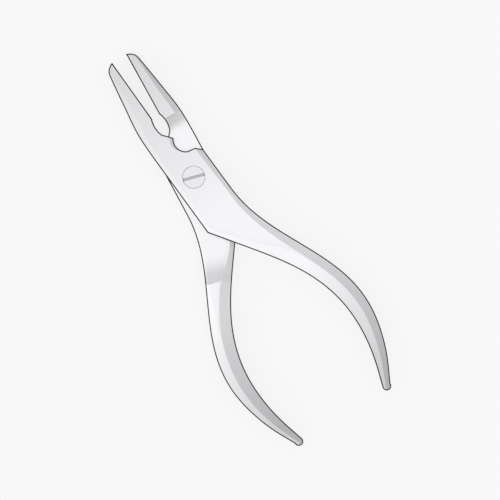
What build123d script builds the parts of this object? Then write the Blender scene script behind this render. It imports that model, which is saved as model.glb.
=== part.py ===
from build123d import *
import math
import os

os.makedirs("parts", exist_ok=True)

# Crimping pliers with a lap joint: two levers forged to one shape, and one slotted pivot screw.
#
# The lever is drawn closed, with the pivot at the origin, +Y to the jaw tip and the lap plane
# at z = 0. Its jaw lies at x < 0 and its handle at x > 0, and its lap side faces down. The
# second lever is the same shape turned half a turn about Y. The finished tool lies on the
# underside of the joint, z = 0, with the pivot axis through the origin, and rests a little open.

# ---- driving dimensions, in millimetres and degrees ----
REST_ANGLE = 3.3            # how far each lever stands open at rest
PLATE = 4.0                 # thickness of one lever's plate at the joint
LAP_GAP = 0.06              # play between the two lap faces
JAW_PLAY = 0.04             # each jaw face stands back this far from the middle plane

JAW_LENGTH = 43.1           # pivot to jaw tip
JAW_TAPER_START = 12.0      # the jaw thins from here to its tip
JAW_TAPER_RADIUS = 231.0    # long arc of the jaw's top, seen from the side
HANDLE_TAPER_START = -22.0  # the handle thins from here to its end
HANDLE_TAPER_RADIUS = 911.0  # long arc of the handle's top, seen from the side
HANDLE_LOWEST = -87.75      # the far end of the handle
END_NOSE = 1.4              # rounding of that end, seen from the side
END_FLAT = 0.1              # what the rounding leaves of the end's height

JAW_STEP = 15.8             # the jaw's ramp leaves the lap face here
JAW_RAMP_RADIUS = 4.0       # concave ramp from the lap face up to the jaw
HANDLE_STEP = 23.4          # the handle's ramp leaves the lap face here
HANDLE_RAMP_RADIUS = 13.5   # concave ramp from the lap face up to the handle
HANDLE_RAMP_TURN = 14.5     # direction of the handle's ramp, from -Y towards +X

# Pivot screw
HEAD_DIAMETER = 6.8
HEAD_LAND = 0.6             # straight rim of the head, above its cone
HEAD_SINK = 0.05            # the head lies this far below the plate's face
SHANK_DIAMETER = 4.6        # shoulder that the front lever turns on
THREAD_DIAMETER = 4.0       # threaded end, ground flush with the back lever
THREAD_BORE = 3.9           # tapped hole, at its mean size
RUNNING_CLEARANCE = 0.04    # radial, between the screw and the front lever
SLOT_WIDTH = 0.85
SLOT_DEPTH = 0.65
SLOT_ANGLE = -16.5          # direction of the slot at rest, from +X
TAIL_CHAMFER = 0.35

# ---- outline of one lever, seen from above ----
JAW_TIP = [(-3.20, 39.4), (-2.40, 41.65), (-0.90, 42.78)]
JAW_BACK = [(-6.71, 8.0), (-6.72, 15.5), (-6.32, 21.9), (-5.35, 27.6), (-4.35, 33.2), JAW_TIP[0]]
PLATE_CORNER = (-6.46, -16.3)
INNER_EDGE = [
    (0.50, -26.5), (6.80, -36.1), (11.10, -44.3), (13.95, -53.0), (14.93, -60.6),
    (14.45, -69.1), (12.45, -78.0), (9.80, -85.65),
]
HANDLE_END = (10.38, -87.62)
OUTER_EDGE = [
    (7.50, -9.5), (8.72, -18.7), (12.45, -29.6), (17.70, -42.0), (21.05, -53.4),
    (21.42, -62.6), (19.50, -71.6), (15.95, -80.1), (12.36, -86.38),
]
PLATE_RIGHT = (7.3, 5.4)
PLATE_SHOULDER = (5.4, 7.15)
BITE = [(3.1, 7.58), (1.02, 10.7), (1.93, 13.35)]
PLATE_TOP = [BITE[-1], (0.55, 15.1), (-0.35, 16.2)]
THROAT_DEEP = (-0.73, 18.0)
THROAT_TOP = (-JAW_PLAY, 22.0)

# ---- facets: distance along the edge that they follow, width, and slope in degrees ----
# The outer facet starts at the plate's right corner and ends at the end of the handle.
OUTER_FACET = [
    (-3.0, 1.9, 36.0), (6.0, 1.7, 36.0), (15.0, 1.45, 36.0), (24.0, 1.9, 33.0), (36.0, 2.6, 30.0),
    (49.0, 3.1, 29.5), (61.0, 3.35, 29.0), (70.0, 3.3, 28.5), (79.0, 2.85, 28.0), (88.0, 2.15, 28.0),
    (95.5, 1.6, 28.0), (99.5, 1.4, 28.0),
]
# On the lap side the outer facet is only a narrow rim beside the ramp, and widens past it.
LAP_OUTER_FACET = [
    (28.0, 0.6, 36.0), (36.0, 0.65, 36.0), (40.0, 1.0, 34.0), (46.0, 2.0, 31.0), (53.0, 2.95, 29.5),
] + OUTER_FACET[6:]
# The inner facet starts at the plate's lower left corner and ends at the end of the handle.
INNER_FACET = [
    (-4.0, 1.3, 36.0), (8.0, 1.6, 35.0), (14.0, 1.95, 33.0), (18.0, 2.7, 31.0), (22.0, 3.55, 28.5),
    (34.0, 3.8, 27.0), (44.0, 3.85, 26.0), (52.0, 3.85, 26.0), (60.0, 3.5, 26.5), (68.0, 2.75, 27.0),
    (75.5, 1.8, 28.0), (79.5, 1.4, 28.0),
]
# On the lap side both facets also run down the handle's ramp and along the lap face. Their
# last stretch rises out of the handle.
INNER_RAMP_FACET = [
    (-4.0, 1.3, 36.0), (6.0, 1.5, 36.0), (12.0, 1.7, 36.0), (15.5, 2.05, 36.0), (17.5, 2.6, 36.0),
    (19.0, 3.05, 35.0), (22.0, 3.55, 31.0), (27.0, 3.6, 28.0),
]
OUTER_RAMP_FACET = [(14.0, 0.0, 36.0), (20.0, 0.6, 36.0), (36.0, 0.65, 36.0), (41.0, 0.9, 34.0)]
INNER_LIFT_START = 20.0     # the inner facet starts to rise out of the handle here
OUTER_LIFT_START = 37.0     # and the outer one here
RAMP_LIFT = 0.12            # rise per millimetre
# The jaw's facet starts on the plate and runs out past the jaw's tip.
JAW_FACET = [
    (0.0, 1.3, 33.0), (7.5, 1.55, 33.0), (12.0, 1.95, 33.0), (16.0, 1.95, 33.0), (20.0, 1.75, 33.0),
    (24.0, 1.5, 33.0), (28.5, 1.05, 33.0), (32.0, 0.75, 33.0), (37.5, 0.3, 33.0),
]
PLATE_FACET = [(-0.3, 1.3, 33.0), (28.0, 1.3, 33.0)]
MOUTH_FACET = [(1.0, -0.3, 35.0), (7.0, 0.0, 35.0), (21.1, 0.55, 35.0), (25.8, 0.75, 35.0)]
BITE_FACET = [(0.0, -0.9, 34.0), (1.7, 0.0, 34.0), (3.9, 0.95, 34.0), (5.6, 1.2, 34.0), (8.5, 1.3, 34.0)]
FACET_SPACING = 3.0         # between the sections of a long facet

CLEAR = 60.0                # cutting solids reach this far, past every edge of the lever


def flat(point):
    return Vector(point[0], point[1], 0.0)


def straight(start, end):
    return Edge.make_line(flat(start), flat(end))


def curve(points, start=None, end=None):
    """Smooth curve, with given directions at its ends if they are named."""
    vectors = [flat(point) for point in points]
    if start is None:
        return Edge.make_spline(vectors)
    return Edge.make_spline(vectors, tangents=[start, end])


def arc(points):
    return Edge.make_three_point_arc(*[flat(point) for point in points])


def arc_fall(run, radius):
    """How far a circle falls away from its tangent after a run along it."""
    return radius - math.sqrt(radius**2 - run**2)


def half_thickness(y):
    """Height of the lever's face above the middle plane, seen from the side."""
    jaw_fall = arc_fall(max(0.0, y - JAW_TAPER_START), JAW_TAPER_RADIUS)
    handle_fall = arc_fall(max(0.0, HANDLE_TAPER_START - y), HANDLE_TAPER_RADIUS)
    return PLATE - jaw_fall - handle_fall


def direction(start, end):
    return (flat(end) - flat(start)).normalized()


def outer_edge():
    """From the plate's right corner to the end of the handle."""
    side = straight(PLATE_RIGHT, OUTER_EDGE[0])
    end = direction(OUTER_EDGE[-2], OUTER_EDGE[-1])
    return Wire([side, curve(OUTER_EDGE, direction(PLATE_RIGHT, OUTER_EDGE[0]), end)])


def inner_edge():
    """From the plate's lower left corner to the end of the handle."""
    side = straight(PLATE_CORNER, INNER_EDGE[0])
    end = direction(INNER_EDGE[-2], INNER_EDGE[-1])
    return Wire([side, curve(INNER_EDGE, direction(PLATE_CORNER, INNER_EDGE[0]), end)])


def jaw_back():
    end = direction(JAW_BACK[-2], JAW_BACK[-1])
    return Wire([curve(JAW_BACK, direction(PLATE_CORNER, JAW_BACK[0]), end)])


def jaw_face():
    return Wire([straight((-JAW_PLAY, JAW_LENGTH), THROAT_TOP)])


def outline():
    edges = outer_edge().edges() + inner_edge().edges() + jaw_back().edges() + jaw_face().edges()
    edges += [
        arc([OUTER_EDGE[-1], HANDLE_END, INNER_EDGE[-1]]),
        straight(PLATE_CORNER, JAW_BACK[0]),
        curve(JAW_TIP),
        straight(JAW_TIP[-1], (-JAW_PLAY, JAW_LENGTH)),
        arc([THROAT_TOP, THROAT_DEEP, PLATE_TOP[-1]]),
        curve(PLATE_TOP),
        arc(BITE),
        straight(BITE[0], PLATE_SHOULDER),
        straight(PLATE_SHOULDER, PLATE_RIGHT),
    ]
    return Face(Wire(edges))


def side_slab():
    """The lever's thickness along its length, as a slab that is wider than the lever."""
    far_y = JAW_LENGTH + END_NOSE
    jaw_y = (JAW_TAPER_START + far_y) / 2
    nose_y = HANDLE_LOWEST + END_NOSE
    middle_y = (HANDLE_TAPER_START + nose_y) / 2
    nose_half = half_thickness(nose_y)
    nose_turn = math.sqrt(0.5)
    half_sides = []
    for side in (1, -1):
        half_sides += [
            arc([
                (far_y, side * half_thickness(far_y)),
                (jaw_y, side * half_thickness(jaw_y)),
                (JAW_TAPER_START, side * PLATE),
            ]),
            straight((JAW_TAPER_START, side * PLATE), (HANDLE_TAPER_START, side * PLATE)),
            arc([
                (HANDLE_TAPER_START, side * PLATE),
                (middle_y, side * half_thickness(middle_y)),
                (nose_y, side * nose_half),
            ]),
            arc([
                (nose_y, side * nose_half),
                (nose_y - nose_turn * END_NOSE, side * nose_turn * nose_half),
                (HANDLE_LOWEST, side * END_FLAT / 2),
            ]),
        ]
    ends = [
        straight((far_y, half_thickness(far_y)), (far_y, -half_thickness(far_y))),
        straight((HANDLE_LOWEST, END_FLAT / 2), (HANDLE_LOWEST, -END_FLAT / 2)),
    ]
    return extrude(Plane.YZ * Face(Wire(half_sides + ends)), CLEAR, both=True)


def facet_cutter(stations, over=1.0, beyond=1.5, ruled=False):
    """Solid that cuts a sloping facet along an edge.

    A station is the point on the edge, the direction into the lever, the facet's width, the
    height of its inner border and its slope. The cutter's section is a triangle that reaches
    over millimetres past the border and beyond millimetres past the edge.
    """
    sections = []
    for point, inward, width, height, slope in stations:
        rise = math.tan(math.radians(slope))
        inner = point + inward * (width + over)
        outer = point - inward * beyond
        top = height + rise * over
        low = height - rise * (width + beyond)
        sections.append(Wire.make_polygon([
            Vector(inner.X, inner.Y, top),
            Vector(outer.X, outer.Y, low),
            Vector(outer.X, outer.Y, top + beyond),
        ]))
    return Solid.make_loft(sections, ruled)


def between(table, distance):
    """Width and slope at a distance, on straight lines between a facet's table rows."""
    for low, high in zip(table, table[1:]):
        if distance <= high[0] or high is table[-1]:
            share = (distance - low[0]) / (high[0] - low[0])
            return [low[i] + share * (high[i] - low[i]) for i in (1, 2)]


def stations_along(path, table, inward_side, height_at=None):
    """Evenly spaced stations of a facet. inward_side is 1 for a lever to the left of the path.

    Before the path's start and past its end, the stations carry on in a straight line.
    """
    first, last = table[0][0], table[-1][0]
    count = max(2, math.ceil((last - first) / FACET_SPACING))
    stations = []
    for i in range(count + 1):
        distance = first + (last - first) * i / count
        inside = min(max(distance, 0.0), path.length) / path.length
        ahead = path.tangent_at(inside).normalized()
        place = path.position_at(inside) + ahead * (distance - inside * path.length)
        inward = Vector(-ahead.Y, ahead.X, 0.0) * inward_side
        width, slope = between(table, distance)
        if height_at is None:
            height = half_thickness(place.Y)
        else:
            height = height_at(place + inward * width, distance)
        stations.append((place, inward, width, height, slope))
    return stations


def outer_facet():
    return facet_cutter(stations_along(outer_edge(), OUTER_FACET, -1))


def lap_outer_facet():
    return facet_cutter(stations_along(outer_edge(), LAP_OUTER_FACET, -1)).mirror(Plane.XY)


def inner_facet():
    return facet_cutter(stations_along(inner_edge(), INNER_FACET, 1))


def jaw_facet():
    return facet_cutter(stations_along(jaw_back(), JAW_FACET, -1))


def plate_facet():
    """Facet along the plate's straight left side, on the face with the screw head."""
    side = Wire([straight(JAW_BACK[0], PLATE_CORNER)])
    return facet_cutter(stations_along(side, PLATE_FACET, 1), ruled=True)


def mouth_facet():
    """Small facet along the upper edge of the jaw's flat face."""
    return facet_cutter(stations_along(jaw_face(), MOUTH_FACET, -1), over=0.6, beyond=1.0)


def bite_facet():
    """Facet round the bite, widest at the tooth, on the face with the screw head."""
    return facet_cutter(stations_along(Wire([arc(BITE)]), BITE_FACET, 1), beyond=1.0)


def ramp_height(place):
    """Height of the handle's ramp above the lap plane at a place."""
    turn = math.radians(HANDLE_RAMP_TURN)
    along = place.X * math.sin(turn) - place.Y * math.cos(turn)
    run = min(max(0.0, along - HANDLE_STEP), HANDLE_RAMP_RADIUS)
    rise = arc_fall(run, HANDLE_RAMP_RADIUS)
    return min(rise - LAP_GAP / 2, half_thickness(place.Y))


def ramp_facet(path, table, inward_side, lift_start):
    """Facet of an edge where it runs down the handle's ramp to the lap face."""

    def height_at(border, distance):
        return ramp_height(border) + RAMP_LIFT * max(0.0, distance - lift_start)

    stations = stations_along(path, table, inward_side, height_at)
    return facet_cutter(stations).mirror(Plane.XY)


def lap_recess():
    """Space of the other lever: everything past the lap face between the two ramps."""
    face_z = LAP_GAP / 2
    floor_z = face_z - 4 * PLATE
    middle = math.sqrt(0.5)

    def slab(step, radius):
        end = step + radius
        section = Face(Wire([
            straight((-CLEAR, face_z), (step, face_z)),
            arc([
                (step, face_z),
                (step + middle * radius, face_z - (1 - middle) * radius),
                (end, face_z - radius),
            ]),
            straight((end, face_z - radius), (end, floor_z)),
            straight((end, floor_z), (-CLEAR, floor_z)),
            straight((-CLEAR, floor_z), (-CLEAR, face_z)),
        ]))
        return extrude(Plane.YZ * section, CLEAR, both=True)

    jaw_side = slab(JAW_STEP, JAW_RAMP_RADIUS)
    handle_side = slab(HANDLE_STEP, HANDLE_RAMP_RADIUS).rotate(Axis.Z, 180.0 + HANDLE_RAMP_TURN)
    return jaw_side & handle_side


def lever_blank():
    blank = extrude(outline(), 2 * PLATE, both=True) & side_slab()
    blank = blank - outer_facet() - lap_outer_facet()
    for cutter in (inner_facet(), jaw_facet(), mouth_facet()):
        blank = blank - cutter - cutter.mirror(Plane.XY)
    blank = blank - plate_facet() - bite_facet() - lap_recess()
    blank = blank - ramp_facet(inner_edge(), INNER_RAMP_FACET, 1, INNER_LIFT_START)
    return blank - ramp_facet(outer_edge(), OUTER_RAMP_FACET, -1, OUTER_LIFT_START)


def screw_body(clearance, top, bottom):
    """Turned shape of the screw's head and shoulder, grown by a clearance all round."""
    head = HEAD_DIAMETER / 2 + clearance
    shank = SHANK_DIAMETER / 2 + clearance
    rim = PLATE - HEAD_SINK - HEAD_LAND
    profile = Polyline(
        (0.0, top), (head, top), (head, rim), (shank, rim - (head - shank)),
        (shank, bottom), (0.0, bottom), (0.0, top),
    )
    return revolve(Plane.XZ * make_face(profile), Axis.Z)


def lever_with_head_seat():
    return lever_blank() - screw_body(RUNNING_CLEARANCE, PLATE + 1.0, -1.0)


def lever_with_tapped_hole():
    lever = lever_blank() - Cylinder(THREAD_BORE / 2, 4 * PLATE)
    return lever.rotate(Axis.Y, 180.0)


def screw():
    face_z = -LAP_GAP / 2
    tail = -PLATE
    top = PLATE - HEAD_SINK
    threaded = Pos(0, 0, (face_z + tail) / 2) * Cylinder(THREAD_DIAMETER / 2, face_z - tail)
    threaded = chamfer(threaded.edges().group_by(Axis.Z)[0], TAIL_CHAMFER)
    solid = screw_body(0.0, top, face_z) + threaded
    slot = Pos(0, 0, top - SLOT_DEPTH / 2) * Box(2 * HEAD_DIAMETER, SLOT_WIDTH, SLOT_DEPTH)
    return solid - slot.rotate(Axis.Z, SLOT_ANGLE)


def placed(shape, turn):
    return shape.rotate(Axis.Z, turn).translate(Vector(0.0, 0.0, PLATE))


NODES = {
    "front_lever": placed(lever_with_head_seat(), REST_ANGLE),
    "back_lever": placed(lever_with_tapped_hole(), -REST_ANGLE),
    "pivot_screw": placed(screw(), 0.0),
}

for name, shape in NODES.items():
    shape.label = name
    export_step(shape, "parts/" + name + ".step")
    print(name, "volume", round(shape.volume, 1), "valid", shape.is_valid)
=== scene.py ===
import math

import bpy
import numpy as np
from mathutils import Matrix, Vector
from mathutils.geometry import delaunay_2d_cdt


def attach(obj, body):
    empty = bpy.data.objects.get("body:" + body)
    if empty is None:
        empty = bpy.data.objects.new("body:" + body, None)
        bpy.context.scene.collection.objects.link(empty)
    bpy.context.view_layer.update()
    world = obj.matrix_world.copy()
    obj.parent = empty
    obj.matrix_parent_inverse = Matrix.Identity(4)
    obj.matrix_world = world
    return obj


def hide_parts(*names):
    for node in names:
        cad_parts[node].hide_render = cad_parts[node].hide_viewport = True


# Lap-joint crimping pliers in satin-polished steel: two levers and a slotted screw.
# Lengths in the shaping code are millimetres. Meshes are scaled to metres when they are made.
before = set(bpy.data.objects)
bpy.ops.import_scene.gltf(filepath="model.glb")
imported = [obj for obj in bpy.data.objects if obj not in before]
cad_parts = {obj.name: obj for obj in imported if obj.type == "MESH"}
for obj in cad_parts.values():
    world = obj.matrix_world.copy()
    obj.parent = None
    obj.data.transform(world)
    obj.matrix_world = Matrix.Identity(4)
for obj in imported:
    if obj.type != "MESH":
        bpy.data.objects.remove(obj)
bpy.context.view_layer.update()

MM = 0.001

# ---- the lever, as in the CAD: pivot at the origin, +Y to the jaw tip, lap side down ----
# Both levers are this blank, turned by REST_ANGLE, and the back one is turned over.
REST_ANGLE = 3.3
PLATE = 4.0
LAP_GAP = 0.06
JAW_PLAY = 0.04
JAW_LENGTH = 43.1
JAW_TAPER_START = 12.0
JAW_TAPER_RADIUS = 231.0
HANDLE_TAPER_START = -22.0
HANDLE_TAPER_RADIUS = 911.0
HANDLE_LOWEST = -87.75
END_NOSE = 1.4
JAW_STEP = 15.8
JAW_RAMP_RADIUS = 4.0
HANDLE_STEP = 23.4
HANDLE_RAMP_RADIUS = 13.5
HANDLE_RAMP_TURN = math.radians(14.5)

JAW_TIP = [(-3.20, 39.4), (-2.40, 41.65), (-0.90, 42.78)]
JAW_BACK = [(-6.71, 8.0), (-6.72, 15.5), (-6.32, 21.9), (-5.35, 27.6), (-4.35, 33.2), JAW_TIP[0]]
PLATE_CORNER = (-6.46, -16.3)
INNER_EDGE = [
    (0.50, -26.5), (6.80, -36.1), (11.10, -44.3), (13.95, -53.0), (14.93, -60.6),
    (14.45, -69.1), (12.45, -78.0), (9.80, -85.65),
]
HANDLE_END = (10.38, -87.62)
OUTER_EDGE = [
    (7.50, -9.5), (8.72, -18.7), (12.45, -29.6), (17.70, -42.0), (21.05, -53.4),
    (21.42, -62.6), (19.50, -71.6), (15.95, -80.1), (12.36, -86.38),
]
PLATE_RIGHT = (7.3, 5.4)
PLATE_SHOULDER = (5.4, 7.15)
BITE = [(3.1, 7.58), (1.02, 10.7), (1.93, 13.35)]
PLATE_TOP = [BITE[-1], (0.55, 15.1), (-0.35, 16.2)]
THROAT_DEEP = (-0.73, 18.0)
THROAT_TOP = (-JAW_PLAY, 22.0)
JAW_CORNER = (-JAW_PLAY, JAW_LENGTH)

# Facets: distance along their edge, width, slope in degrees. LAP_ and SCREW_ name the side of the lever.
OUTER_FACET = [
    (-3.0, 1.9, 36.0), (6.0, 1.7, 36.0), (15.0, 1.45, 36.0), (24.0, 1.9, 33.0), (36.0, 2.6, 30.0),
    (49.0, 3.1, 29.5), (61.0, 3.35, 29.0), (70.0, 3.3, 28.5), (79.0, 2.85, 28.0), (88.0, 2.15, 28.0),
    (95.5, 1.6, 28.0), (99.5, 1.4, 28.0),
]
LAP_OUTER_FACET = [
    (28.0, 0.75, 36.0), (36.0, 0.95, 36.0), (40.0, 1.2, 34.0), (46.0, 2.0, 31.0), (53.0, 2.95, 29.5),
    (61.0, 3.2, 29.0), (70.0, 2.9, 28.5), (79.0, 2.2, 28.0), (88.0, 1.5, 28.0), (95.5, 1.1, 28.0),
    (99.5, 0.9, 28.0),
]
INNER_FACET = [
    (-4.0, 1.3, 36.0), (8.0, 1.6, 35.0), (14.0, 1.95, 33.0), (18.0, 2.7, 31.0), (22.0, 3.55, 28.5),
    (34.0, 3.8, 27.0), (44.0, 3.85, 26.0), (52.0, 3.85, 26.0), (60.0, 3.5, 26.5), (68.0, 2.75, 27.0),
    (75.5, 1.8, 28.0), (79.5, 1.4, 28.0),
]
SCREW_INNER_FACET = INNER_FACET[:8] + [
    (60.0, 3.1, 26.5), (68.0, 2.2, 27.0), (75.5, 1.3, 28.0), (79.5, 1.0, 28.0),
]
INNER_RAMP_FACET = [
    (-4.0, 1.3, 36.0), (6.0, 1.5, 36.0), (12.0, 1.7, 36.0), (15.5, 2.05, 36.0), (17.5, 2.6, 36.0),
    (19.0, 3.05, 35.0), (22.0, 3.55, 31.0), (27.0, 3.6, 28.0),
]
OUTER_RAMP_FACET = [(14.0, 0.0, 36.0), (20.0, 0.6, 36.0), (36.0, 0.95, 36.0), (41.0, 1.15, 34.0)]
INNER_LIFT_START = 20.0
OUTER_LIFT_START = 37.0
RAMP_LIFT = 0.12
JAW_FACET = [
    (0.0, 1.3, 33.0), (7.5, 1.55, 33.0), (12.0, 1.95, 33.0), (16.0, 1.95, 33.0), (20.0, 1.75, 33.0),
    (24.0, 1.5, 33.0), (28.5, 1.05, 33.0), (32.0, 0.75, 33.0), (37.5, 0.3, 33.0),
]
PLATE_FACET = [(-0.3, 1.3, 33.0), (28.0, 1.3, 33.0)]
MOUTH_FACET = [(1.0, -0.3, 35.0), (7.0, 0.0, 35.0), (21.1, 0.55, 35.0), (25.8, 0.75, 35.0)]
BITE_FACET = [(0.0, -0.9, 34.0), (1.7, 0.0, 34.0), (3.9, 0.95, 34.0), (5.6, 1.2, 34.0), (8.5, 1.3, 34.0)]

# ---- the screw ----
HEAD_RADIUS = 3.4
HEAD_LAND = 0.6
HEAD_SINK = 0.05
SHANK_RADIUS = 2.3
THREAD_BORE_RADIUS = 1.95
RUNNING_CLEARANCE = 0.04
SLOT_WIDTH = 0.85
SLOT_DEPTH = 0.65
SLOT_ANGLE = math.radians(-16.5)
TAIL_CHAMFER = 0.35
THREAD_CLEARANCE = 0.02
SEAT_SLANT = 0.4         # how far the seat's wall is shaded as if it leaned back
SLOT_EDGE = 0.07        # rounding of the slot's edges

# ---- how finely the steel is broken and sampled ----
EDGE_BREAK = 0.3        # rounding where a face meets a side
PAINTED_OUTLINE_WIDTH = 0.39        # painted dark outline along that edge, standing in for the shade and dark reflection on its rounding
HOLE_OUTLINE_SHADE = 0.09        # and the little of that painted outline round a hole
LAP_BREAK = 0.12        # the same, along the lap face
HOLE_BREAK = 0.1        # and round a hole
RAMP_TOP_BREAK = 0.2    # and where the jaw's face meets its ramp
LAP_TO_EDGE = [0.3, 0.9]    # from the first height to the second, lap breaks grow to edge breaks
FACET_INWARD = 1.2      # how far a facet is worked out past its width
FACET_OUTWARD = 1.5     # and past its edge
CREST = 0.11            # softness, in height, where two facets meet
ARC_TURNS = [0.0, 22.5, 45.0, 67.5, 90.0]
CREST_ROWS = [-0.24, -0.15, -0.07, 0.0, 0.07, 0.15, 0.24]
NO_CUT = 50.0           # height that stands for "this facet doesn't cut here"
ROUND = 96              # points round a hole or the screw
ROW_CLEAR = 0.03        # rows of points end this far from the rubbed edge
HOLE_CLEAR = 0.05       # and this far from a hole's
INSIDE_CLEAR = 0.15     # loose points keep this far inside the painted dark outline
OUTSIDE_SPECK = 0.001   # triangles nearer to the outline than this are outside it
SIDE_ROW = 0.1          # rows of points on a side wall, this far from its edges
RAMP_HALF_WIDTH = 9.0
JAW_RAMP_TURNS = [0, 10, 20, 30, 40, 50, 60, 68, 75, 81, 86]
PAST_JAW_RAMP = [0.0, 0.015, 0.06, 0.12, 0.2]

# ---- the matt finish that the milling cutter leaves on the ramps ----
MATT_FROM, MATT_FULL = -1.0, 2.4            # distance past the start of the jaw's ramp
MATT_STEEP_FROM, MATT_STEEP_FULL = 0.20, 0.32   # 1 minus the normal's height, in the scoop
MATT_FADE = 0.05                            # fade at the scoop's facet, in height


# ---------------------------------------------------------------- lines in plan

def spline(points, start=None, end=None, step=0.3):
    """Smooth line through points as closely spaced points. start and end are directions."""
    p = np.array(points, float)
    n = len(p)
    h = np.linalg.norm(np.diff(p, axis=0), axis=1)
    system, right = np.zeros((n, n)), np.zeros((n, 2))
    for i in range(1, n - 1):
        system[i, i - 1:i + 2] = h[i], 2 * (h[i - 1] + h[i]), h[i - 1]
        right[i] = 3 * (h[i] / h[i - 1] * (p[i] - p[i - 1]) + h[i - 1] / h[i] * (p[i + 1] - p[i]))
    if start is None:
        system[0, :2] = 2, 1
        right[0] = 3 * (p[1] - p[0]) / h[0]
        system[-1, -2:] = 1, 2
        right[-1] = 3 * (p[-1] - p[-2]) / h[-1]
    else:
        system[0, 0] = system[-1, -1] = 1
        right[0], right[-1] = start, end
    m = np.linalg.solve(system, right)
    line = [p[:1]]
    for i in range(n - 1):
        t = np.linspace(0, 1, max(2, round(h[i] / step)) + 1)[1:, None]
        line.append((1 + 2 * t) * (1 - t) ** 2 * p[i] + t * (1 - t) ** 2 * h[i] * m[i]
                    + t * t * (3 - 2 * t) * p[i + 1] + t * t * (t - 1) * h[i] * m[i + 1])
    return np.vstack(line)


def straight(a, b, step=0.4):
    count = max(1, round(math.dist(a, b) / step))
    return np.array(a) + np.linspace(0, 1, count + 1)[:, None] * (np.array(b) - np.array(a))


def arc(points, step=0.12):
    """Circular line through three points."""
    a, b, c = [complex(*p) for p in points]
    w = (c - a) / (b - a)
    centre = (b - a) * (w - abs(w) ** 2) / (2j * w.imag) + a
    r = abs(a - centre)
    first, last = [math.atan2((q - centre).imag, (q - centre).real) for q in (a, c)]
    turn = last - first
    left = ((b - a).conjugate() * (c - a)).imag > 0
    if left and turn < 0:
        turn += 2 * math.pi
    if not left and turn > 0:
        turn -= 2 * math.pi
    angles = first + np.linspace(0, 1, max(6, round(abs(turn) * r / step)) + 1) * turn
    return np.c_[centre.real + r * np.cos(angles), centre.imag + r * np.sin(angles)]


def direction(a, b):
    d = np.array(b, float) - np.array(a, float)
    return d / np.linalg.norm(d)


def joined(*parts):
    return np.vstack([parts[0]] + [part[1:] for part in parts[1:]])


def close_spaced(line, step):
    """The line again with even, close spacing."""
    d = np.r_[0, np.cumsum(np.linalg.norm(np.diff(line, axis=0), axis=1))]
    t = np.linspace(0, d[-1], max(2, round(d[-1] / step)) + 1)
    return np.c_[np.interp(t, d, line[:, 0]), np.interp(t, d, line[:, 1])]


outer_line = joined(
    straight(PLATE_RIGHT, OUTER_EDGE[0]),
    spline(OUTER_EDGE, direction(PLATE_RIGHT, OUTER_EDGE[0]), direction(*OUTER_EDGE[-2:])),
)
inner_line = joined(
    straight(PLATE_CORNER, INNER_EDGE[0]),
    spline(INNER_EDGE, direction(PLATE_CORNER, INNER_EDGE[0]), direction(*INNER_EDGE[-2:])),
)
jaw_line = spline(JAW_BACK, direction(PLATE_CORNER, JAW_BACK[0]), direction(*JAW_BACK[-2:]))
mouth_line = straight(JAW_CORNER, THROAT_TOP)
side_line = straight(JAW_BACK[0], PLATE_CORNER)
bite_line = arc(BITE)


class Path:
    """A line that a facet follows, carried on straight past both ends."""

    def __init__(self, line, inward_side, step=0.25, beyond=9.0):
        line = close_spaced(line, step)
        first, last = direction(line[1], line[0]), direction(line[-2], line[-1])
        before = line[0] + np.arange(beyond, 0, -step)[:, None] * first
        after = line[-1] + np.arange(step, beyond, step)[:, None] * last
        self.points = np.vstack([before, line, after])
        steps = np.linalg.norm(np.diff(self.points, axis=0), axis=1)
        self.distance = np.r_[0, np.cumsum(steps)] - steps[:len(before)].sum()
        ahead = np.gradient(self.points, axis=0)
        self.ahead = ahead / np.linalg.norm(ahead, axis=1)[:, None]
        self.inward = np.c_[-self.ahead[:, 1], self.ahead[:, 0]] * inward_side

    def locate(self, places):
        """Distance along, distance inward, and the point on the line, for each place."""
        near = nearest(places, self.points)
        away = places - self.points[near]
        along = (away * self.ahead[near]).sum(1)
        inward = (away * self.inward[near]).sum(1)
        foot = self.points[near] + along[:, None] * self.ahead[near]
        return self.distance[near] + along, inward, foot, self.inward[near]


def nearest(places, points, block=4000):
    found = np.empty(len(places), int)
    for i in range(0, len(places), block):
        part = places[i:i + block]
        gap = (part[:, :1] - points[:, 0]) ** 2 + (part[:, 1:] - points[:, 1]) ** 2
        found[i:i + block] = gap.argmin(1)
    return found


outer_path = Path(outer_line, -1)
inner_path = Path(inner_line, 1)
jaw_path = Path(jaw_line, -1)
mouth_path = Path(mouth_line, -1)
side_path = Path(side_line, 1)
bite_path = Path(bite_line, 1, step=0.1)


def rounded_corners(loop, cut=0.22, sharp=12.0):
    """A closed line with each corner in plan rubbed round."""
    made = []
    for i, here in enumerate(loop):
        back, on = loop[i - 1] - here, loop[(i + 1) % len(loop)] - here
        lengths = np.linalg.norm(back), np.linalg.norm(on)
        bend = math.degrees(math.acos(np.clip(-(back @ on) / lengths[0] / lengths[1], -1, 1)))
        if bend < sharp:
            made.append(here)
            continue
        a = here + back * min(cut / lengths[0], 0.45)
        b = here + on * min(cut / lengths[1], 0.45)
        for t in (0.0, 0.25, 0.5, 0.75, 1.0):
            made.append((1 - t) ** 2 * a + 2 * t * (1 - t) * here + t * t * b)
    return np.array(made)


# Anticlockwise, from the jaw's corner down the mouth, round the handle and up the jaw's back.
outline = joined(
    straight(PLATE_RIGHT, PLATE_SHOULDER),
    straight(PLATE_SHOULDER, BITE[0]),
    bite_line,
    spline(PLATE_TOP),
    arc([PLATE_TOP[-1], THROAT_DEEP, THROAT_TOP]),
    straight(THROAT_TOP, JAW_CORNER),
    straight(JAW_CORNER, JAW_TIP[-1]),
    spline(JAW_TIP)[::-1],
    jaw_line[::-1],
    side_line,
    inner_line,
    arc([INNER_EDGE[-1], HANDLE_END, OUTER_EDGE[-1]]),
    outer_line[::-1],
)[:-1]
outline = rounded_corners(outline)


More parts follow.
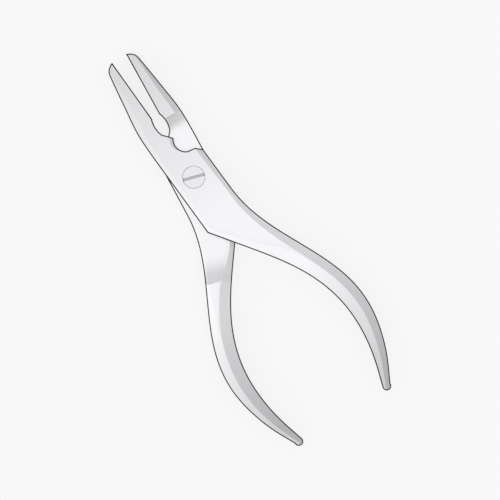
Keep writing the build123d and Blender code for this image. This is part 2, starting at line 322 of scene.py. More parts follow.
def edge_distance(places, block=3000):
    """Distance from the lever's outline, negative outside it."""
    a, b = outline, np.roll(outline, -1, axis=0)
    run = b - a
    squared = (run ** 2).sum(1)
    found = np.empty(len(places))
    for i in range(0, len(places), block):
        part = places[i:i + block]
        dx, dy = part[:, :1] - a[:, 0], part[:, 1:] - a[:, 1]
        t = np.clip((dx * run[:, 0] + dy * run[:, 1]) / squared, 0, 1)
        gap = np.sqrt(((dx - t * run[:, 0]) ** 2 + (dy - t * run[:, 1]) ** 2).min(1))
        above = (a[:, 1] > part[:, 1:]) != (b[:, 1] > part[:, 1:])
        cross = a[:, 0] + run[:, 0] * (part[:, 1:] - a[:, 1]) / np.where(run[:, 1] == 0, 1e-12, run[:, 1])
        inside = (above & (part[:, :1] < cross)).sum(1) % 2 == 1
        found[i:i + block] = np.where(inside, gap, -gap)
    return found


# ---------------------------------------------------------------- heights of the faces

def arc_fall(run, radius):
    """How far a circle falls away from its tangent after a run along it."""
    run = np.clip(run, 0, radius)
    return radius - np.sqrt(radius ** 2 - run ** 2)


def half_thickness(y):
    jaw_fall = arc_fall(y - JAW_TAPER_START, JAW_TAPER_RADIUS)
    return PLATE - jaw_fall - arc_fall(HANDLE_TAPER_START - y, HANDLE_TAPER_RADIUS)


def nose(y):
    """Height of the face, with the rounded nose at the handle's end."""
    start = HANDLE_LOWEST + END_NOSE
    t = np.clip((start - y) / END_NOSE, 0, 0.98)
    return half_thickness(y) * np.sqrt(1 - t * t)


def soft_min(a, b, softness=CREST):
    near = np.clip(softness - np.abs(a - b), 0, None) / softness
    return np.minimum(a, b) - near * near * softness / 4


def facet(path, table, places, height=None):
    """Height of a sloping facet over each place, or NO_CUT past its ends."""
    columns = np.array(table).T
    distance, inward, foot, side = path.locate(places)
    width = np.interp(distance, columns[0], columns[1])
    rise = np.tan(np.radians(np.interp(distance, columns[0], columns[2])))
    top = half_thickness(foot[:, 1]) if height is None else height(foot + side * width[:, None], distance)
    found = top - rise * (width - inward)
    off = (distance < columns[0][0]) | (distance > columns[0][-1])
    off |= (inward > width + FACET_INWARD) | (inward < -FACET_OUTWARD)
    return np.where(off, NO_CUT, found)


def handle_run(places):
    """Distance past the line where the handle's ramp leaves the lap face."""
    return places[:, 0] * math.sin(HANDLE_RAMP_TURN) - places[:, 1] * math.cos(HANDLE_RAMP_TURN) - HANDLE_STEP


def ramp_height(lift_start):
    """Height of the border of a facet beside the handle's ramp."""
    def height(border, distance):
        rise = arc_fall(handle_run(border), HANDLE_RAMP_RADIUS) - LAP_GAP / 2
        lift = RAMP_LIFT * np.clip(distance - lift_start, 0, None)
        return np.minimum(rise, half_thickness(border[:, 1])) + lift
    return height


def recess(places):
    """Lap face and its two ramps, as a height below the middle plane."""
    jaw = arc_fall(places[:, 1] - JAW_STEP, JAW_RAMP_RADIUS)
    handle = arc_fall(handle_run(places), HANDLE_RAMP_RADIUS)
    past = (places[:, 1] > JAW_STEP + JAW_RAMP_RADIUS) | (handle_run(places) > HANDLE_RAMP_RADIUS)
    return np.where(past, NO_CUT, np.maximum(jaw, handle) - LAP_GAP / 2)


# Each face is a list of cuts. A cut gives a height over places; the lowest one is the surface.
BOTH_SIDES = {
    "inner": lambda p: facet(inner_path, INNER_FACET, p),
    "jaw": lambda p: facet(jaw_path, JAW_FACET, p),
    "mouth": lambda p: facet(mouth_path, MOUTH_FACET, p),
}
SCREW_SIDE = dict(
    BOTH_SIDES,
    inner=lambda p: facet(inner_path, SCREW_INNER_FACET, p),
    jaw=lambda p: np.minimum(facet(jaw_path, JAW_FACET, p), facet(side_path, PLATE_FACET, p)),
    face=lambda p: nose(p[:, 1]),
    outer=lambda p: facet(outer_path, OUTER_FACET, p),
    bite=lambda p: facet(bite_path, BITE_FACET, p),
)
LAP_SIDE = dict(
    BOTH_SIDES,
    face=lambda p: ramp_edge_rubbed(p),
    outer=lambda p: facet(outer_path, LAP_OUTER_FACET, p),
    recess=recess,
    inner_ramp=lambda p: facet(inner_path, INNER_RAMP_FACET, p, ramp_height(INNER_LIFT_START)),
    outer_ramp=lambda p: facet(outer_path, OUTER_RAMP_FACET, p, ramp_height(OUTER_LIFT_START)),
)


def rub(distance, radius):
    """Fall of a rubbed edge, at a distance in from it."""
    back = np.clip(radius - distance, 0, radius)
    return radius - np.sqrt(np.clip(radius ** 2 - back ** 2, 0, None))


def ramp_edge_rubbed(places):
    """Height of the flat face, rubbed where it meets the jaw's ramp."""
    past = places[:, 1] - (JAW_STEP + JAW_RAMP_RADIUS)
    return nose(places[:, 1]) - np.where(past >= 0, rub(past, RAMP_TOP_BREAK), 0.0)


def surface(cuts, places, edge, hole_radius):
    """Height of one face of the lever, and how near each place is to a crest."""
    height, crest = np.full(len(places), NO_CUT), np.zeros(len(places))
    for cut in cuts.values():
        other = cut(places)
        crest = np.maximum(crest, np.clip(1 - np.abs(height - other) / CREST, 0, 1))
        height = soft_min(height, other)
    height = height - rub(edge, np.interp(height, LAP_TO_EDGE, [LAP_BREAK, EDGE_BREAK]))
    centre = np.hypot(places[:, 0], places[:, 1])
    return height - rub(centre - hole_radius, HOLE_BREAK), crest


# ---------------------------------------------------------------- rows of points that follow the shape

def runs(points, keep):
    """The stretches of a line whose points are kept."""
    edges = np.flatnonzero(np.diff(np.r_[0, keep.astype(int), 0]))
    return [points[a:b] for a, b in zip(edges[::2], edges[1::2]) if b - a > 1]


def edge_rows():
    """Rows just inside the outline, where its edge is rubbed round and where its painted dark outline ends.
    """
    ahead = np.roll(outline, -1, axis=0) - np.roll(outline, 1, axis=0)
    ahead /= np.linalg.norm(ahead, axis=1)[:, None]
    inward = np.c_[-ahead[:, 1], ahead[:, 0]]
    depths = [EDGE_BREAK * (1 - math.cos(math.radians(turn))) for turn in ARC_TURNS[1:]]
    rows = []
    for depth in depths + [PAINTED_OUTLINE_WIDTH]:
        row = outline + inward * depth
        row = row[edge_distance(row) > 0.93 * depth]
        rows.append(np.vstack([row, row[:1]]))
    return rows


def crest_rows(cuts, name, path, first, last, reach, spacing=0.4, samples=90):
    """Rows along the crest where one cut meets the others, and beside it."""
    stations = np.arange(first, last, spacing)
    at = np.clip(np.searchsorted(path.distance, stations), 0, len(path.points) - 1)
    start, inward = path.points[at], path.inward[at]
    depth = np.linspace(0, reach, samples)
    places = (start[:, None] + inward[:, None] * depth[None, :, None]).reshape(-1, 2)
    rest = np.min([cut(places) for other, cut in cuts.items() if other != name], axis=0)
    gap = (cuts[name](places) - rest).reshape(len(at), samples)
    meets = (gap[:, :-1] < 0) & (gap[:, 1:] >= 0)
    found, j = meets.any(1), meets.argmax(1)
    low, high = gap[np.arange(len(at)), j], gap[np.arange(len(at)), j + 1]
    crest = depth[j] + np.where(found, low / np.where(low == high, 1, low - high), 0) * depth[1]
    rows = []
    for aside in CREST_ROWS:
        row = start + inward * (crest + aside)[:, None]
        rows += runs(row, found & (crest + aside > 0) & (edge_distance(row) > EDGE_BREAK + ROW_CLEAR))
    return rows


def cross_rows(path, depths):
    """Straight rows across the lever, at distances past a line."""
    rows = []
    for depth in depths:
        row = path.points + path.inward * depth
        rows += runs(row, edge_distance(row) > EDGE_BREAK + ROW_CLEAR)
    return rows


ahead_of_ramp = np.array([math.sin(HANDLE_RAMP_TURN), -math.cos(HANDLE_RAMP_TURN)])
ramp_middle = ahead_of_ramp * HANDLE_STEP
across_ramp = np.array([-ahead_of_ramp[1], ahead_of_ramp[0]]) * RAMP_HALF_WIDTH
handle_ramp_path = Path(straight(ramp_middle - across_ramp, ramp_middle + across_ramp), -1)
jaw_ramp_path = Path(straight((-7.5, JAW_STEP), (0.5, JAW_STEP)), 1)
nose_start = HANDLE_LOWEST + END_NOSE
handle_end_path = Path(straight((7.0, nose_start), (15.0, nose_start)), -1)


def arc_steps(radius, turns):
    """Runs along a circle's tangent, at turns of its arc in degrees."""
    return [radius * math.sin(math.radians(a)) for a in turns]


def face_rows(cuts, tables):
    rows = edge_rows() + cross_rows(handle_end_path, arc_steps(END_NOSE, range(0, 70, 10)))
    for name, path, table in tables:
        reach = max(row[1] for row in table) + 1.0
        rows += crest_rows(cuts, name, path, table[0][0] + 0.1, table[-1][0], reach)
    return rows


def lap_rows(cuts, tables):
    rows = face_rows(cuts, tables)
    rows += crest_rows(cuts, "recess", handle_ramp_path, -6.0, 24.0, 11.5)
    rows += cross_rows(handle_ramp_path, arc_steps(HANDLE_RAMP_RADIUS, range(0, 43, 4)))
    rows += cross_rows(jaw_ramp_path, arc_steps(JAW_RAMP_RADIUS, JAW_RAMP_TURNS))
    rows += cross_rows(jaw_ramp_path, [JAW_RAMP_RADIUS + past for past in PAST_JAW_RAMP])
    return rows


def plan(rows, hole_radius, spacing=1.1):
    """The lever's plan as triangles: places, triangles, and the outline's and the hole's own points."""
    turn = np.arange(ROUND) * 2 * math.pi / ROUND
    ring = np.c_[np.cos(turn), np.sin(turn)]
    rings = [ring * (hole_radius + HOLE_BREAK * (1 - math.cos(math.radians(a)))) for a in ARC_TURNS]
    near_hole = hole_radius + HOLE_BREAK + HOLE_CLEAR
    loops = [outline, rings[0]] + rings[1:]
    lines = []
    for row in rows:
        lines += runs(row, np.hypot(row[:, 0], row[:, 1]) > near_hole)
    fixed = np.vstack(loops + lines)
    low, high = outline.min(0), outline.max(0)
    inside = []
    for i, y in enumerate(np.arange(low[1], high[1], spacing * math.sqrt(3) / 2)):
        x = np.arange(low[0] + (i % 2) * spacing / 2, high[0], spacing)
        inside.append(np.c_[x, np.full_like(x, y)])
    inside = np.vstack(inside)
    clear = np.sqrt(((inside - fixed[nearest(inside, fixed)]) ** 2).sum(1)) > 0.45 * spacing
    clear &= (edge_distance(inside) > PAINTED_OUTLINE_WIDTH + INSIDE_CLEAR) & (np.hypot(*inside.T) > near_hole)
    inside = inside[clear]
    places, edges, count = [], [], 0
    for loop in loops:
        n = len(loop)
        edges += [(count + i, count + (i + 1) % n) for i in range(n)]
        places.append(loop)
        count += n
    for line in lines:
        edges += [(count + i, count + i + 1) for i in range(len(line) - 1)]
        places.append(line)
        count += len(line)
    places = np.vstack(places + [inside])
    made = delaunay_2d_cdt([Vector(p) for p in places], edges, [], 1, 1e-4, True)
    where = {old: new for new, olds in enumerate(made[3]) for old in olds}
    points = np.array([tuple(v) for v in made[0]])
    triangles = np.array([tuple(f) for f in made[2]])
    corners = points[triangles]
    one, two = corners[:, 1] - corners[:, 0], corners[:, 2] - corners[:, 0]
    area = one[:, 0] * two[:, 1] - one[:, 1] * two[:, 0]
    triangles[area < 0] = triangles[area < 0][:, ::-1]
    middle = corners.mean(1)
    in_hole = np.hypot(*middle.T) < hole_radius * math.cos(math.pi / ROUND) - 1e-4
    triangles = triangles[~in_hole & (edge_distance(middle) > OUTSIDE_SPECK)]
    rim = [where[i] for i in range(len(outline))]
    hole = [where[len(outline) + i] for i in range(ROUND)]
    return points, triangles, rim, hole


def normals_of(cuts, places, hole_radius, step=0.004):
    """Slope of a face by looking a little to each side, as unit normals of an upward face."""
    def height(dx, dy):
        moved = places + np.array([dx, dy])
        return surface(cuts, moved, edge_distance(moved), hole_radius)[0]
    slope_x = (height(step, 0) - height(-step, 0)) / (2 * step)
    slope_y = (height(0, step) - height(0, -step)) / (2 * step)
    normal = np.c_[-slope_x, -slope_y, np.ones(len(places))]
    return normal / np.linalg.norm(normal, axis=1)[:, None]


def loop_normals(loop):
    """Outward directions of an anticlockwise closed line."""
    ahead = np.roll(loop, -1, axis=0) - np.roll(loop, 1, axis=0)
    out = np.c_[ahead[:, 1], -ahead[:, 0], np.zeros(len(loop))]
    return out / np.linalg.norm(out, axis=1)[:, None]


class Skin:
    """Points, faces and per-point values of one closed mesh, gathered in pieces."""

    def __init__(self):
        self.points, self.normals, self.rim, self.crest, self.milled, self.faces = [], [], [], [], [], []
        self.count = 0

    def add(self, points, normals, rim=0.0, crest=0.0, milled=0.0):
        first = self.count
        self.points.append(points)
        self.normals.append(normals)
        # rim: how strongly each point carries the painted dark outline
        self.rim.append(np.broadcast_to(rim, len(points)))
        self.crest.append(np.broadcast_to(crest, len(points)))
        self.milled.append(np.broadcast_to(milled, len(points)))
        self.count += len(points)
        return np.arange(first, self.count)

    def band(self, low, high):
        """Faces between two closed rings of points. They face out if the rings run anticlockwise."""
        for i in range(len(low)):
            j = (i + 1) % len(low)
            self.faces.append((low[i], low[j], high[j], high[i]))


def milled_finish(places, normal):
    """Where the ramps keep the matt finish of the milling cutter, on the lap side."""
    past = places[:, 1] - JAW_STEP
    jaw = smooth(past, MATT_FROM, MATT_FULL) * (past < JAW_RAMP_RADIUS + 0.005)
    steep = smooth(1 - np.abs(normal[:, 2]), MATT_STEEP_FROM, MATT_STEEP_FULL)
    run = handle_run(places)
    scoop = steep * (run > 0) * (run < HANDLE_RAMP_RADIUS)
    others = np.min([cut(places) for name, cut in LAP_SIDE.items() if name != "inner_ramp"], axis=0)
    beside = smooth(others - LAP_SIDE["inner_ramp"](places), 0.0, MATT_FADE)
    return np.max([jaw, scoop, beside], axis=0)


def smooth(values, low, high):
    t = np.clip((values - low) / (high - low), 0, 1)
    return t * t * (3 - 2 * t)


def lever_skin(seat):
    """One lever, closed, lap side down. seat: with the screw head's seat, or else the tapped hole."""
    skin = Skin()
    top_hole = HEAD_RADIUS + RUNNING_CLEARANCE if seat else THREAD_BORE_RADIUS
    lap_hole = SHANK_RADIUS + RUNNING_CLEARANCE if seat else THREAD_BORE_RADIUS
    sides = [(SCREW_SIDE, TOP_ROWS, top_hole, 1), (LAP_SIDE, LAP_ROWS, lap_hole, -1)]
    rims, holes = [], []
    for cuts, rows, hole_radius, up in sides:
        places, triangles, rim, hole = plan(rows, hole_radius)
        edge = edge_distance(places)
        edge[rim] = 0.0
        centre = np.hypot(*places.T)
        height, crest = surface(cuts, places, edge, hole_radius)
        normal = normals_of(cuts, places, hole_radius) * (1, 1, up)
        normal[rim] = loop_normals(places[rim])
        normal[hole] = -loop_normals(places[hole])
        # painted shade: a dark outline band along the edges and round the hole
        outline_shade_band = np.clip(1 - edge / PAINTED_OUTLINE_WIDTH, 0, 1)
        hole_outline_shade = HOLE_OUTLINE_SHADE * np.clip(1 - (centre - hole_radius) / HOLE_BREAK, 0, 1)
        matt = milled_finish(places, normal) if up < 0 else 0.0
        own = skin.add(np.c_[places, up * height], normal, np.maximum(outline_shade_band, hole_outline_shade), crest, matt)
        skin.faces += [tuple(own[t] if up > 0 else own[t[::-1]]) for t in triangles]
        rims.append(own[rim])
        holes.append(own[hole])
    gathered = np.vstack(skin.points)
    top, bottom = gathered[rims[0]], gathered[rims[1]]
    tall = top[:, 2] - bottom[:, 2]
    out = loop_normals(top[:, :2])
    rings = [rims[1]]
    gap = np.minimum(SIDE_ROW, tall * 0.3)
    for z in (bottom[:, 2] + gap, top[:, 2] - gap):
        rings.append(skin.add(np.c_[top[:, :2], z], out))
    rings.append(rims[0])
    for low, high in zip(rings, rings[1:]):
        skin.band(low, high)
    unit = gathered[holes[0]][:, :2]
    unit = unit / np.linalg.norm(unit, axis=1)[:, None]
    inner_rings = [holes[0]]
    if seat:
        cone_top = PLATE - HEAD_SINK - HEAD_LAND
        slant = np.c_[-unit, np.full(ROUND, SEAT_SLANT)] / math.hypot(1, SEAT_SLANT)
        for radius, z in ((HEAD_RADIUS, cone_top), (SHANK_RADIUS, cone_top - HEAD_RADIUS + SHANK_RADIUS)):
            ring = np.c_[unit * (radius + RUNNING_CLEARANCE), np.full(ROUND, z)]
            inner_rings.append(skin.add(ring, slant))
    inner_rings.append(holes[1])
    for high, low in zip(inner_rings, inner_rings[1:]):
        skin.band(high, low)
    return skin


def new_piece(name, mesh, body, node):
    """A mesh in the row frame as a piece that stands for a CAD node and moves with its body."""
    piece = bpy.data.objects.new(name, mesh)
    bpy.context.scene.collection.objects.link(piece)
    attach(piece, body)
    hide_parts(node)
    return piece


def lever_piece(name, seat, turned_over, body, node):
    skin = lever_skin(seat)
    rest_turn = math.radians(-REST_ANGLE if turned_over else REST_ANGLE)
    place = Matrix.Rotation(rest_turn, 4, "Z")
    if turned_over:
        place = place @ Matrix.Rotation(math.pi, 4, "Y")
    turn = np.array(place.to_3x3())
    points = np.vstack(skin.points)
    placed = (points @ turn.T + (0, 0, PLATE)) * MM
    mesh = bpy.data.meshes.new(name)
    mesh.from_pydata(placed.tolist(), [], skin.faces)
    mesh.shade_smooth()
    along, across = lay_of_grain(points[:, :2])
    # rim carries the painted dark outline
    labels = {"rim": np.concatenate(skin.rim), "crest": np.concatenate(skin.crest),
              "milled": np.concatenate(skin.milled), "along": along, "across": across}
    for label, values in labels.items():
        mesh.attributes.new(label, "FLOAT", "POINT").data.foreach_set("value", values.astype(np.float32))
    mesh.normals_split_custom_set_from_vertices((np.vstack(skin.normals) @ turn.T).tolist())
    return new_piece(name, mesh, body, node)


def lay_of_grain(places):
    """Distance along and across the lever, which the finishing marks follow."""
    distance, inward, _, _ = outer_path.locate(places)
    x, y = places.T
    past = y > PLATE_RIGHT[1]
    return np.where(past, PLATE_RIGHT[1] - y, distance), np.where(past, PLATE_RIGHT[0] - x, inward)


EITHER_SIDE = [
    ("inner", inner_path, INNER_FACET), ("jaw", jaw_path, JAW_FACET), ("mouth", mouth_path, MOUTH_FACET)]
TOP_ROWS = face_rows(SCREW_SIDE, EITHER_SIDE + [
    ("jaw", side_path, PLATE_FACET), ("bite", bite_path, BITE_FACET), ("outer", outer_path, OUTER_FACET)])
LAP_ROWS = lap_rows(LAP_SIDE, EITHER_SIDE + [
    ("inner_ramp", inner_path, INNER_RAMP_FACET), ("outer_ramp", outer_path, OUTER_RAMP_FACET),
    ("outer", outer_path, LAP_OUTER_FACET)])
front = lever_piece("front_lever_steel", True, False, "front_half", "front_lever")
back = lever_piece("back_lever_steel", False, True, "back_half", "back_lever")


# ---------------------------------------------------------------- the pivot screw

def turned(name, profile):
    """Mesh turned about Z from (radius, height) points, closed by flat ends."""
    turn = np.arange(ROUND) * 2 * math.pi / ROUND
    points, faces = [], []
    for radius, z in profile:
        points += [(radius * math.cos(a) * MM, radius * math.sin(a) * MM, z * MM) for a in turn]
    for k in range(len(profile) - 1):
        for i in range(ROUND):
            j = (i + 1) % ROUND
            faces.append((k * ROUND + i, (k + 1) * ROUND + i, (k + 1) * ROUND + j, k * ROUND + j))
    faces.append(tuple(range(ROUND)))
    faces.append(tuple(reversed(range((len(profile) - 1) * ROUND, len(profile) * ROUND))))
    mesh = bpy.data.meshes.new(name)
    mesh.from_pydata(points, [], faces)
    return mesh


def screw_piece():
    top = 2 * PLATE - HEAD_SINK
    land = top - HEAD_LAND
    thread = THREAD_BORE_RADIUS - THREAD_CLEARANCE
    rim = [(HEAD_RADIUS - HOLE_BREAK + HOLE_BREAK * math.sin(math.radians(a)),
            top - HOLE_BREAK + HOLE_BREAK * math.cos(math.radians(a))) for a in ARC_TURNS]
    profile = rim + [
        (HEAD_RADIUS, land), (SHANK_RADIUS, land - HEAD_RADIUS + SHANK_RADIUS), (SHANK_RADIUS, PLATE),
        (thread, PLATE), (thread, TAIL_CHAMFER), (thread - TAIL_CHAMFER, 0.0),
    ]
    body = bpy.data.objects.new("screw_blank", turned("screw_blank", profile))
    slot = bpy.data.meshes.new("slot_cutter")
    corners = [Vector((x, y, z)) * MM for x in (-2 * HEAD_RADIUS, 2 * HEAD_RADIUS)
               for y in (-SLOT_WIDTH / 2, SLOT_WIDTH / 2) for z in (top - SLOT_DEPTH, top + 1.0)]
    slot.from_pydata(corners, [], [
        (0, 1, 3, 2), (4, 6, 7, 5), (0, 4, 5, 1), (2, 3, 7, 6), (0, 2, 6, 4), (1, 5, 7, 3)])
    slot.transform(Matrix.Rotation(SLOT_ANGLE, 4, "Z"))
    cutter = bpy.data.objects.new("slot_cutter", slot)
    for o in (body, cutter):
        bpy.context.scene.collection.objects.link(o)
    cut = body.modifiers.new("slot", "BOOLEAN")
    cut.operation, cut.solver, cut.object = "DIFFERENCE", "EXACT", cutter
    rubbed = body.modifiers.new("rubbed edges", "BEVEL")
    rubbed.width, rubbed.segments, rubbed.angle_limit = SLOT_EDGE * MM, 3, math.radians(40)
    mesh = bpy.data.meshes.new_from_object(body.evaluated_get(bpy.context.evaluated_depsgraph_get()))
    mesh.name = "pivot_screw_steel"
    for o in (body, cutter):
        bpy.data.objects.remove(o)
    mesh.shade_smooth()
    piece = new_piece("pivot_screw_steel", mesh, "back_half", "pivot_screw")
    even = piece.modifiers.new("flat faces stay flat", "WEIGHTED_NORMAL")
    even.keep_sharp = True
    return piece


screw = screw_piece()


# ---------------------------------------------------------------- finishes

STEEL_LOW, STEEL_HIGH = 0.865, 0.935    # polished steel, from its darker to its lighter patches
WORN_CREST = 0.96
MATT_STEEL = 0.79
# near-black painted on as a dark outline along every edge, standing in for shade on the rounded edges
OUTLINE_PAINTED_SHADE = 0.02
# grey the slot is painted towards its floor, as painted shade in the recess
SLOT_PAINTED_SHADE = 0.5
JOINT_PAINTED_SHADE, JAW_PAINTED_SHADE = 0.055, 0.20      # painted shade: how much darker the steel is painted at the joint and the jaw tips
HANDLE_PAINTED_SHADE, FLAT_PAINTED_SHADE = 0.33, 0.08     # painted shade at the handle ends, and more of it on the flat face there
BUMP_STRENGTH, BUMP_DISTANCE = 0.10, 0.00002

class Value:
    """A node's output that can be used in sums."""

    def __init__(self, bench, socket):
        self.bench, self.socket = bench, socket

    def sum(self, operation, *values, clamp=False):
        settings = {"operation": operation, "use_clamp": clamp}
        return self.bench.add("ShaderNodeMath", settings, dict(enumerate(values)))

    def __add__(self, other): return self.sum("ADD", self, other)
    def __radd__(self, other): return self.sum("ADD", other, self)
    def __sub__(self, other): return self.sum("SUBTRACT", self, other)
    def __rsub__(self, other): return self.sum("SUBTRACT", other, self)
    def __mul__(self, other): return self.sum("MULTIPLY", self, other)
    def __rmul__(self, other): return self.sum("MULTIPLY", other, self)
    def __truediv__(self, other): return self.sum("DIVIDE", self, other)
    def __pow__(self, other): return self.sum("POWER", self, other)
    def held(self): return self.sum("ADD", self, 0.0, clamp=True)
    def wave(self): return self.sum("SINE", self)
    def size(self): return self.sum("ABSOLUTE", self)

    def between_straight(self, low, high):
        """0 at low, 1 at high, even between."""
        return self.bench.add("ShaderNodeMapRange", {}, {"Value": self, "From Min": low, "From Max": high})

    def between(self, low, high):
        """0 at low, 1 at high, smooth between."""
        return self.bench.add("ShaderNodeMapRange", {"interpolation_type": "SMOOTHSTEP"},
                              {"Value": self, "From Min": low, "From Max": high})


class Bench:
    """One node tree, and the one way to add a node to it."""

    def __init__(self, tree):
        self.tree = tree
        tree.nodes.clear()

    def add(self, kind, settings, values, output=0):
        node = self.tree.nodes.new(kind)
        for name, value in settings.items():
            setattr(node, name, value)
        for name, value in values.items():
            if isinstance(value, Value):
                self.tree.links.new(value.socket, node.inputs[name])
            else:
                node.inputs[name].default_value = value
        return Value(self, node.outputs[output])

    def mix(self, share, a, b):
        return self.add("ShaderNodeMix", {"data_type": "RGBA"}, {0: share, 6: a, 7: b}, 2)

    def vector(self, x, y, z):
        return self.add("ShaderNodeCombineXYZ", {}, {0: x, 1: y, 2: z})

    def noise(self, vector, scale, detail=2.0, roughness=0.5):
        return self.add("ShaderNodeTexNoise", {}, {
            "Vector": vector, "Scale": scale, "Detail": detail, "Roughness": roughness})

    def attribute(self, name):
        return self.add("ShaderNodeAttribute", {"attribute_name": name}, {}, 2)


def grey(level):
    """Colour of steel, very slightly cool."""
    return (level, level * 1.004, level * 1.028, 1.0)


def parts(b, place):
    """The three parts of a vector."""
    split = b.add("ShaderNodeSeparateXYZ", {}, {0: place}).socket.node
    return [Value(b, output) for output in split.outputs]


def lever_steel():
    material = bpy.data.materials.new("lever_steel_satin")
    material.use_nodes = True
    b = Bench(material.node_tree)
    place = b.add("ShaderNodeTexCoord", {}, {}, 3)
    along, across = b.attribute("along"), b.attribute("across")
    rim, crest, milled = b.attribute("rim"), b.attribute("crest"), b.attribute("milled")
    # finishing marks from the polishing belt, long along the lever and fine across it
    marks = b.noise(b.vector(along * 0.22, across * 9.0, 0.0), 1.0, 3.0, 0.62)
    fine_marks = b.noise(b.vector(along * 0.8, across * 30.0, 3.0), 1.0, 2.0, 0.6)
    # hazy patches from handling, and small scattered rubs
    haze = b.noise(place, 140.0, 3.0, 0.55)
    rubs = b.noise(b.vector(along * 1.1, across * 1.6, 7.0), 1.0, 4.0, 0.7).between(0.62, 0.78)
    grain = b.noise(place, 5200.0, 2.0, 0.6)
    # painted shade: edges and the ring round the hole turn a near-black non-metal, a painted dark outline
    edge = rim.between(0.0, 0.2)
    on_lap = 1.0 - (parts(b, place)[2] - PLATE * MM).size().between(0.3 * MM, 1.0 * MM)
    tone = 0.5 + (marks - 0.5) * 0.5 + (haze - 0.5) * 0.6 + (grain - 0.5) * 0.25
    to_tip, to_jaw = along.between_straight(46.0, 90.0), along.between_straight(10.0, -38.0)
    flat = parts(b, b.add("ShaderNodeTexCoord", {}, {}, 1))[2].size().between(0.92, 0.98)
    at_joint = along.between(20.0, 5.0)
    # painted shade: darker towards the joint, the jaw tips and the handle ends, more on the flat face there,
    # none on the lap face
    shade = at_joint * JOINT_PAINTED_SHADE + to_tip * (HANDLE_PAINTED_SHADE + flat * FLAT_PAINTED_SHADE) + to_jaw * JAW_PAINTED_SHADE
    steel = b.mix(tone.held(), grey(STEEL_LOW), grey(STEEL_HIGH))
    worn = b.mix((crest * 0.4).held(), steel, grey(WORN_CREST))
    with_painted_shade = b.mix(shade * (1.0 - on_lap), worn, grey(0.0))
    matt = b.mix(milled, with_painted_shade, grey(MATT_STEEL))
    colour = b.mix(edge, matt, grey(OUTLINE_PAINTED_SHADE))
    rough = 0.27 + (fine_marks - 0.5) * 0.12 + (haze - 0.5) * 0.12 + rubs * 0.07 - crest * 0.05
    height = marks * 0.5 + fine_marks * 0.35 + grain * 0.25
    shader = b.add("ShaderNodeBsdfPrincipled", {}, {
        "Base Color": colour, "Roughness": rough.held(), "Metallic": (1.0 - edge) * (1.0 - milled),
        "Normal": bump(b, height), "Specular IOR Level": 0.0})
    output(b, shader)
    return material


def bump(b, height):
    return b.add("ShaderNodeBump", {}, {
        "Strength": BUMP_STRENGTH, "Distance": BUMP_DISTANCE, "Height": height})


def output(b, shader, kind="ShaderNodeOutputMaterial"):
    node = b.tree.nodes.new(kind)
    b.tree.links.new(shader.socket, node.inputs["Surface"])


def screw_steel():
    material = bpy.data.materials.new("screw_steel_turned")
    material.use_nodes = True
    b = Bench(material.node_tree)
    place = b.add("ShaderNodeTexCoord", {}, {}, 3)
    x, y, z = parts(b, place)
    radius = (x * x + y * y) ** 0.5
    wobble = b.noise(place, 900.0, 2.0)
    rings = (radius * 42000.0 + wobble * 3.0).wave() * 0.5 + 0.5
    haze = b.noise(place, 500.0, 3.0)
    # painted shade: the slot's colour is painted darker towards its floor
    depth = 1.0 - z.between((2 * PLATE - 0.6) * MM, (2 * PLATE - 0.15) * MM)
    tone = 0.5 + (rings - 0.5) * 0.5 + (haze - 0.5) * 0.6
    steel = b.mix(tone.held(), grey(0.80), grey(0.88))
    colour = b.mix(depth * 0.8, steel, grey(SLOT_PAINTED_SHADE))
    rough = 0.26 + rings * 0.05 + (haze - 0.5) * 0.1 + depth * 0.15
    shader = b.add("ShaderNodeBsdfPrincipled", {}, {
        "Base Color": colour, "Roughness": rough.held(), "Metallic": 1.0, "Normal": bump(b, rings)})
    output(b, shader)
    return material


satin = lever_steel()
for piece in (front, back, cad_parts["front_lever"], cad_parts["back_lever"]):
    piece.data.materials.clear()
    piece.data.materials.append(satin)
ringed = screw_steel()
for piece in (screw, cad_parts["pivot_screw"]):
    piece.data.materials.clear()
    piece.data.materials.append(ringed)


# ---------------------------------------------------------------- studio

ZENITH_LIGHT = 0.99
SHADED_SIDE = 0.29      # how much darker the low light is, away from the window
BRIGHT_SIDE = 0.06      # and how much brighter on the window's side
BACKDROP = 0.92
PAPER_COLOUR, PAPER_LIGHT = 0.16, 0.80      # the floor as it is seen
STEEL_SEES_COLOUR, STEEL_SEES_LIGHT = 0.6, 0.35     # and as the steel reflects it
FLOOR_REACH = 3.0       # metres
FLOOR_DROP = 0.00005
CAMERA_TURN = math.radians(-32.2)
VIEW_CENTRE = Vector((2.68, -28.02, 6.0)) * MM
VIEW_WIDTH = 0.1531
LENS = 600.0
SENSOR = 36.0
view_right = Vector((math.cos(CAMERA_TURN), math.sin(CAMERA_TURN), 0.0))
view_up = Vector((-math.sin(CAMERA_TURN), math.cos(CAMERA_TURN), 0.0))

data = bpy.data.cameras.new("camera")
data.lens, data.sensor_width = LENS, SENSOR
data.clip_start, data.clip_end = 0.01, 20.0
camera = bpy.data.objects.new("camera", data)
camera.location = VIEW_CENTRE + Vector((0, 0, VIEW_WIDTH * LENS / SENSOR))
camera.rotation_euler = (0.0, 0.0, CAMERA_TURN)
bpy.context.scene.collection.objects.link(camera)
bpy.context.scene.camera = camera

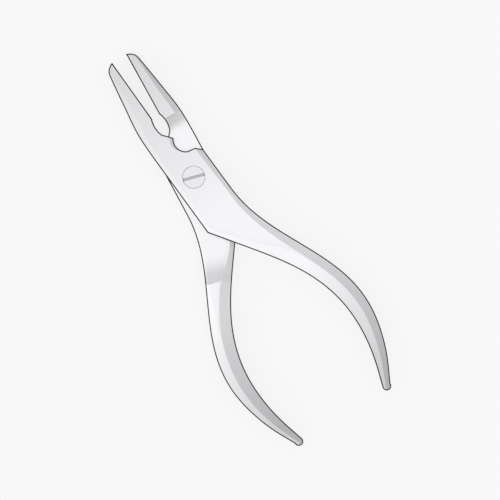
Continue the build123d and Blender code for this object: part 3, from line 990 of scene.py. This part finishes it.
ground = bpy.data.meshes.new("floor")
reach = FLOOR_REACH
ground.from_pydata(
    [(-reach, -reach, 0), (reach, -reach, 0), (reach, reach, 0), (-reach, reach, 0)], [], [(0, 1, 2, 3)])
floor = bpy.data.objects.new("floor", ground)
floor.location = (0.0, 0.0, -FLOOR_DROP)
bpy.context.scene.collection.objects.link(floor)


def floor_paper():
    material = bpy.data.materials.new("floor_paper")
    material.use_nodes = True
    b = Bench(material.node_tree)
    seen_in_steel = b.add("ShaderNodeLightPath", {}, {}, 3)
    seen, reflected = [
        b.add("ShaderNodeBsdfPrincipled", {}, {
            "Base Color": (colour, colour, colour, 1.0), "Roughness": 0.9, "Specular IOR Level": 0.0,
            "Emission Color": (1.0, 1.0, 1.0, 1.0), "Emission Strength": light})
        for colour, light in ((PAPER_COLOUR, PAPER_LIGHT), (STEEL_SEES_COLOUR, STEEL_SEES_LIGHT))]
    output(b, b.add("ShaderNodeMixShader", {}, {0: seen_in_steel, 1: seen, 2: reflected}))
    return material


ground.materials.append(floor_paper())

world = bpy.data.worlds.new("studio")
world.use_nodes = True
bpy.context.scene.world = world
b = Bench(world.node_tree)
towards = b.add("ShaderNodeTexCoord", {}, {}, 0)


def facing(way):
    """How far each direction points along a given one."""
    return b.add("ShaderNodeVectorMath", {"operation": "DOT_PRODUCT"}, {0: towards, 1: way}, 1)


right, up, height = facing(view_right), facing(view_up), facing((0.0, 0.0, 1.0))
sideways = (1.0 - height * height).held() ** 0.5
# 0 towards the window, at the lower left of the view, and 1 away from it
shaded = ((right * -0.8 - up * 0.6) / sideways.sum("MAXIMUM", sideways, 0.001)).between(0.72, 0.18)
low = height.between_straight(0.98, 0.55)
level = ZENITH_LIGHT * (1.0 + low * (BRIGHT_SIDE - (SHADED_SIDE + BRIGHT_SIDE) * shaded))
seen = b.add("ShaderNodeLightPath", {}, {}, 0)
backdrop = b.add("ShaderNodeBackground", {}, {
    "Color": (BACKDROP, BACKDROP, BACKDROP, 1.0), "Strength": 1.0})
lit = b.add("ShaderNodeBackground", {}, {"Color": (1.0, 1.0, 1.0, 1.0), "Strength": level})
output(b, b.add("ShaderNodeMixShader", {}, {0: seen, 1: lit, 2: backdrop}), "ShaderNodeOutputWorld")

bpy.context.scene.view_settings.view_transform = "Standard"
